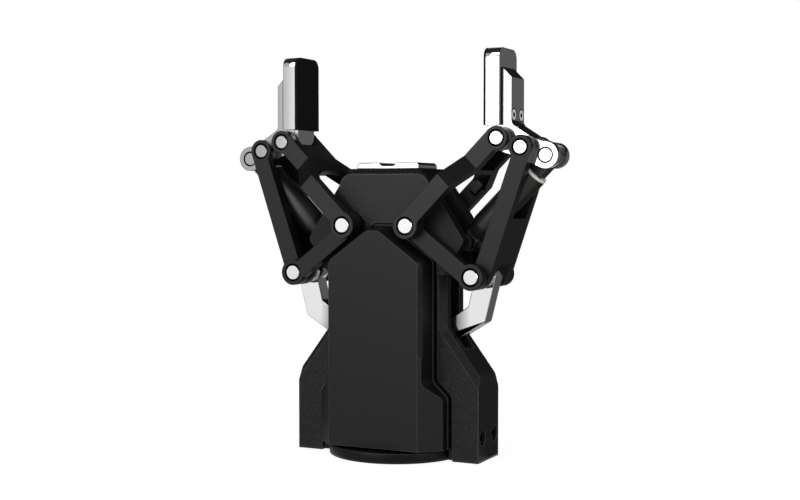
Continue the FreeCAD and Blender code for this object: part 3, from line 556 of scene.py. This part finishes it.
metalLooks = {
    "bright_aluminium": {
        "dark": (0.9, 0.9, 0.905), "light": (0.94, 0.94, 0.945), "edge": (0.06, 0.06, 0.06),
        "cloudScale": 30.0, "edgeWidth": 0.0006, "edgeGain": 9.0, "stretch": (1.0, 0.06, 1.0),
        "fine": 700.0, "rough": (0.05, 0.08), "scratch": 0.04, "bump": 0.02, "relief": 0.000006,
        "shadeMasks": [pinGapShade, ribShade, rodShade],
    },
    "tip_aluminium": {
        "dark": (0.9, 0.9, 0.905), "light": (0.94, 0.94, 0.945), "edge": (0.06, 0.06, 0.06),
        "cloudScale": 30.0, "edgeWidth": 0.0006, "edgeGain": 9.0, "stretch": (1.0, 1.0, 0.06),
        "fine": 700.0, "rough": (0.05, 0.08), "scratch": 0.04, "bump": 0.02, "relief": 0.000006,
        "shadeMasks": [plateShade],
    },
    "pin_steel": {
        "dark": (0.9, 0.9, 0.91), "light": (0.97, 0.97, 0.97), "edge": (0.95, 0.95, 0.95),
        "cloudScale": 60.0, "edgeWidth": 0.0002, "edgeGain": 5.0, "stretch": (1.0, 1.0, 1.0),
        "fine": 1500.0, "rough": (0.3, 0.4), "scratch": 0.04, "bump": 0.06, "relief": 0.00002,
        "metallic": 0.0, "shadeMasks": [screwGapShade],
    },
    "screw_steel": {
        "dark": (0.36, 0.36, 0.37), "light": (0.52, 0.52, 0.53), "edge": (0.7, 0.7, 0.7),
        "cloudScale": 60.0, "edgeWidth": 0.0002, "edgeGain": 5.0, "stretch": (1.0, 1.0, 1.0),
        "fine": 1500.0, "rough": (0.25, 0.4), "scratch": 0.05, "bump": 0.1, "relief": 0.00003,
    },
    "side_screw_black": {
        "dark": (0.03, 0.03, 0.032), "light": (0.06, 0.06, 0.062), "edge": (0.25, 0.25, 0.25),
        "cloudScale": 60.0, "edgeWidth": 0.0002, "edgeGain": 5.0, "stretch": (1.0, 1.0, 1.0),
        "fine": 1500.0, "rough": (0.3, 0.45), "scratch": 0.05, "bump": 0.1, "relief": 0.00003,
        "shadeMasks": [screwGapShade],
    },
    "motor_steel": {
        "dark": (0.42, 0.42, 0.44), "light": (0.56, 0.56, 0.58), "edge": (0.75, 0.75, 0.75),
        "cloudScale": 30.0, "edgeWidth": 0.0003, "edgeGain": 4.0, "stretch": (0.05, 0.05, 1.0),
        "fine": 900.0, "rough": (0.28, 0.42), "scratch": 0.05, "bump": 0.15, "relief": 0.00004,
    },
    "bearing_steel": {
        "dark": (0.6, 0.6, 0.62), "light": (0.74, 0.74, 0.76), "edge": (0.9, 0.9, 0.9),
        "cloudScale": 50.0, "edgeWidth": 0.0002, "edgeGain": 4.0, "stretch": (1.0, 0.2, 1.0),
        "fine": 1400.0, "rough": (0.18, 0.3), "scratch": 0.05, "bump": 0.1, "relief": 0.00003,
    },
    "nut_brass": {
        "dark": (0.58, 0.42, 0.16), "light": (0.74, 0.58, 0.26), "edge": (0.86, 0.74, 0.42),
        "cloudScale": 40.0, "edgeWidth": 0.0003, "edgeGain": 4.0, "stretch": (1.0, 1.0, 0.08),
        "fine": 900.0, "rough": (0.24, 0.38), "scratch": 0.05, "bump": 0.12, "relief": 0.00004,
    },
    "socket_metal": {
        "dark": (0.5, 0.5, 0.52), "light": (0.68, 0.68, 0.7), "edge": (0.85, 0.85, 0.85),
        "cloudScale": 50.0, "edgeWidth": 0.0002, "edgeGain": 4.0, "stretch": (1.0, 0.1, 1.0),
        "fine": 1200.0, "rough": (0.2, 0.34), "scratch": 0.05, "bump": 0.12, "relief": 0.00003,
    },
    "ring_brass": {
        "dark": (0.92, 0.88, 0.77), "light": (0.97, 0.94, 0.85), "edge": (0.98, 0.96, 0.9),
        "cloudScale": 60.0, "edgeWidth": 0.0002, "edgeGain": 4.0, "stretch": (1.0, 1.0, 1.0),
        "fine": 1400.0, "rough": (0.28, 0.4), "scratch": 0.03, "bump": 0.08, "relief": 0.00002,
        "metallic": 0.0,
    },
}

pinLook = {
    "dark": (0.84, 0.84, 0.85), "light": (0.95, 0.95, 0.955), "cloudScale": 90.0,
    "pitch": 9000.0, "rough": (0.07, 0.11), "bump": 0.04, "relief": 0.000006,
}

finishes = {name: coatedBlack(name, look) for name, look in blackLooks.items()}
for name, look in metalLooks.items():
    finishes[name] = cutMetal(name, look)
print("finishes made")


# CAD pieces: finish and softened edges

softEdges = {
    "main_housing": 0.0006, "upper_frame": 0.0005, "base_flange": 0.0004,
    "front_lower_cover": 0.0006, "rear_lower_cover": 0.0006,
    "front_upper_cover": 0.0003, "rear_upper_cover": 0.0003, "palm_plate": 0.0003,
    "finger_link": 0.0004, "front_lever": 0.0004, "rear_lever": 0.0004, "outer_link": 0.0004,
    "finger_bracket": 0.0003, "fingertip": 0.0003, "rubber_pad": 0.0002, "drive_rod": 0.0004,
    "strut_rod": 0.0003, "strut_barrel": 0.0002, "strut_ring": 0.0002,
}

# angles in degrees, the weld in metres
softening = {"weld": 0.00001, "flatAngle": 0.4, "cornerAngle": 38, "segments": 2}

# nodes that show a finish of their own, not their slot's
otherFinish = {
    "front_upper_cover": "upper_black", "rear_upper_cover": "upper_black",
    "upper_frame": "frame_black", "front_lever": "lever_black", "rear_lever": "lever_black",
    "outer_link": "lever_black", "side_screws": "side_screw_black",
    "fingertip": "tip_aluminium",
}


def plainName(name):
    for side in ("left_", "right_"):
        if name.startswith(side):
            return name[len(side):]
    return name


def finishFor(name):
    plain = plainName(name)
    if plain.endswith("_pin"):
        low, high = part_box(name)
        centre = [(low[i] + high[i]) / 2 for i in range(3)]
        return turnedMetal("turned_" + name, pinLook, centre)
    if plain in otherFinish:
        return finishes[otherFinish[plain]]
    return finishes[slotOf[name]]


def softenEdges(piece, width, look):
    weld = piece.modifiers.new("joinCorners", "WELD")
    weld.merge_threshold = look["weld"]
    flat = piece.modifiers.new("plainFaces", "DECIMATE")
    flat.decimate_type = "DISSOLVE"
    flat.angle_limit = math.radians(look["flatAngle"])
    edge = piece.modifiers.new("softEdge", "BEVEL")
    edge.width = width
    edge.segments = look["segments"]
    edge.limit_method = "ANGLE"
    edge.angle_limit = math.radians(look["cornerAngle"])
    edge.use_clamp_overlap = True


for name, piece in cadNodes.items():
    finish = finishFor(name)
    if not piece.material_slots:
        piece.data.materials.append(finish)
    for slot in piece.material_slots:
        slot.material = finish
    plain = plainName(name)
    if plain in softEdges:
        softenEdges(piece, softEdges[plain], softening)
print("CAD pieces dressed")


# studio

studio = {
    "floorSize": 60.0,
    "floorDrop": 0.0002,
    "floorWhite": 0.6,
    "floorGlow": 0.93,
    "shadowShare": 0.12,
    "worldLight": 0.55,
    "target": (0.0, 0.0, 0.1),
}

# power in watts
lamps = [
    {"name": "frontSoftbox", "place": (-0.4, -2.16, 1.2), "size": (1.6, 2.4),
     "power": 21.0, "mirrored": True},
    {"name": "topSoftbox", "place": (-0.55, -0.5, 2.2), "size": (1.5, 1.7),
     "power": 10.0, "mirrored": False},
    {"name": "rightStrip", "place": (1.9, -0.9, 0.5), "size": (0.3, 1.4),
     "power": 3.2, "mirrored": True},
]

# standing cards turn to the object, lying ones stay level; shade runs from black to white
uprightCards = [
    {"name": "rearFlag", "place": (0.788, 2.054, 0.25), "size": (3.82, 0.7), "shade": 0.1},
    {"name": "rearHighFlag", "place": (0.788, 2.054, 1.45), "size": (3.82, 1.7), "shade": 0.01},
    {"name": "leftFlag", "place": (-1.946, -1.026, 1.0), "size": (2.6, 2.1), "shade": 0.42},
    {"name": "sideFlag", "place": (-1.8, -0.16, 0.95), "size": (1.5, 1.9), "shade": 0.0},
    {"name": "farLeftFlag", "place": (-1.73, 1.36, 1.0), "size": (3.2, 2.1), "shade": 0.25},
    {"name": "rightFlag", "place": (1.26, -1.8, 1.0), "size": (1.8, 2.1), "shade": 0.1},
    {"name": "frontCard", "place": (0.06, -1.9, 0.5), "size": (0.7, 1.0), "shade": 0.66},
]
levelCards = [
    {"name": "ceilingFlag", "place": (0.0, 0.0, 2.5), "size": (5.0, 5.0), "shade": 0.02},
    {"name": "nearFloorFlag", "place": (0.0, -0.25, 0.001), "size": (5.0, 0.5), "shade": 0.45},
    {"name": "frontFloorFlag", "place": (0.0, -1.3, 0.001), "size": (5.0, 1.6), "shade": 0.85},
    {"name": "rearFloorFlag", "place": (0.0, 1.15, 0.001), "size": (5.0, 2.3), "shade": 0.09},
    {"name": "rearFloorCard", "place": (-0.2, 0.8, 0.002), "size": (0.4, 1.3), "shade": 0.4},
]


def aimAt(thing, target):
    ahead = Vector(target) - thing.location
    thing.rotation_euler = ahead.to_track_quat("-Z", "Y").to_euler()


def emptyTree(owner):
    owner.use_nodes = True
    owner.node_tree.nodes.clear()
    return owner.node_tree


def makePlane(name, size, place):
    bpy.ops.object.select_all(action="DESELECT")
    bpy.ops.mesh.primitive_plane_add(size=size, location=place)
    plane = bpy.context.object
    plane.name = name
    return plane


def seenDirectly(tree, spot):
    # true for what the camera sees, also through glass and in polished faces
    path = addNode(tree, "ShaderNodeLightPath", (spot[0] - 400, spot[1]))
    first = addNode(tree, "ShaderNodeMath", (spot[0] - 200, spot[1]), operation="MAXIMUM")
    both = addNode(tree, "ShaderNodeMath", spot, operation="MAXIMUM")
    tree.links.new(path.outputs["Is Camera Ray"], first.inputs[0])
    tree.links.new(path.outputs["Is Transmission Ray"], first.inputs[1])
    tree.links.new(first.outputs[0], both.inputs[0])
    tree.links.new(path.outputs["Is Glossy Ray"], both.inputs[1])
    return both


def makeFloor(look):
    floor = makePlane("floor", look["floorSize"], (0, 0, -look["floorDrop"]))
    material = bpy.data.materials.new("paleFloor")
    tree = emptyTree(material)
    out = addNode(tree, "ShaderNodeOutputMaterial", (600, 0))
    matt = addNode(tree, "ShaderNodeBsdfDiffuse", (0, -150))
    matt.inputs["Color"].default_value = (look["floorWhite"],) * 3 + (1,)
    faint = addNode(tree, "ShaderNodeBsdfDiffuse", (0, 0))
    faint.inputs["Color"].default_value = (look["shadowShare"],) * 3 + (1,)
    glow = addNode(tree, "ShaderNodeEmission", (0, 150))
    glow.inputs["Strength"].default_value = look["floorGlow"]
    blend = addNode(tree, "ShaderNodeAddShader", (200, 50))
    pick = addNode(tree, "ShaderNodeMixShader", (400, 0))
    seen = seenDirectly(tree, (200, 350))
    tree.links.new(seen.outputs[0], pick.inputs[0])
    tree.links.new(faint.outputs[0], blend.inputs[0])
    tree.links.new(glow.outputs[0], blend.inputs[1])
    tree.links.new(matt.outputs[0], pick.inputs[1])
    tree.links.new(blend.outputs[0], pick.inputs[2])
    tree.links.new(pick.outputs[0], out.inputs["Surface"])
    floor.data.materials.append(material)


def makeLamp(lamp, target):
    data = bpy.data.lights.new(lamp["name"], "AREA")
    data.shape = "RECTANGLE"
    data.size, data.size_y = lamp["size"]
    data.energy = lamp["power"]
    light = bpy.data.objects.new(lamp["name"], data)
    light.visible_glossy = lamp["mirrored"]
    light.visible_camera = False
    bpy.context.scene.collection.objects.link(light)
    light.location = lamp["place"]
    aimAt(light, target)


def makeCard(look, target=None):
    # a dark or pale card that only polished faces show
    card = makePlane(look["name"], 1.0, look["place"])
    card.scale = (*look["size"], 1.0)
    if target:
        aimAt(card, (*target[:2], look["place"][2]))
    material = bpy.data.materials.new(look["name"])
    tree = emptyTree(material)
    out = addNode(tree, "ShaderNodeOutputMaterial", (300, 0))
    shade = addNode(tree, "ShaderNodeEmission", (0, 0))
    shade.inputs["Strength"].default_value = look["shade"]
    tree.links.new(shade.outputs[0], out.inputs["Surface"])
    card.data.materials.append(material)
    card.visible_camera = False
    card.visible_diffuse = False
    card.visible_shadow = False
    card.visible_transmission = False


def makeWorld(look):
    world = bpy.data.worlds.new("whiteRoom")
    bpy.context.scene.world = world
    tree = emptyTree(world)
    out = addNode(tree, "ShaderNodeOutputWorld", (600, 0))
    soft = addNode(tree, "ShaderNodeBackground", (200, -100))
    soft.inputs["Strength"].default_value = look["worldLight"]
    white = addNode(tree, "ShaderNodeBackground", (200, 100))
    for shade in (soft, white):
        shade.inputs["Color"].default_value = (1, 1, 1, 1)
    seen = seenDirectly(tree, (200, 350))
    pick = addNode(tree, "ShaderNodeMixShader", (400, 0))
    tree.links.new(seen.outputs[0], pick.inputs[0])
    tree.links.new(soft.outputs[0], pick.inputs[1])
    tree.links.new(white.outputs[0], pick.inputs[2])
    tree.links.new(pick.outputs[0], out.inputs["Surface"])


makeFloor(studio)
for lamp in lamps:
    makeLamp(lamp, studio["target"])
for look in uprightCards:
    makeCard(look, studio["target"])
for look in levelCards:
    makeCard(look)
makeWorld(studio)
print("studio set")
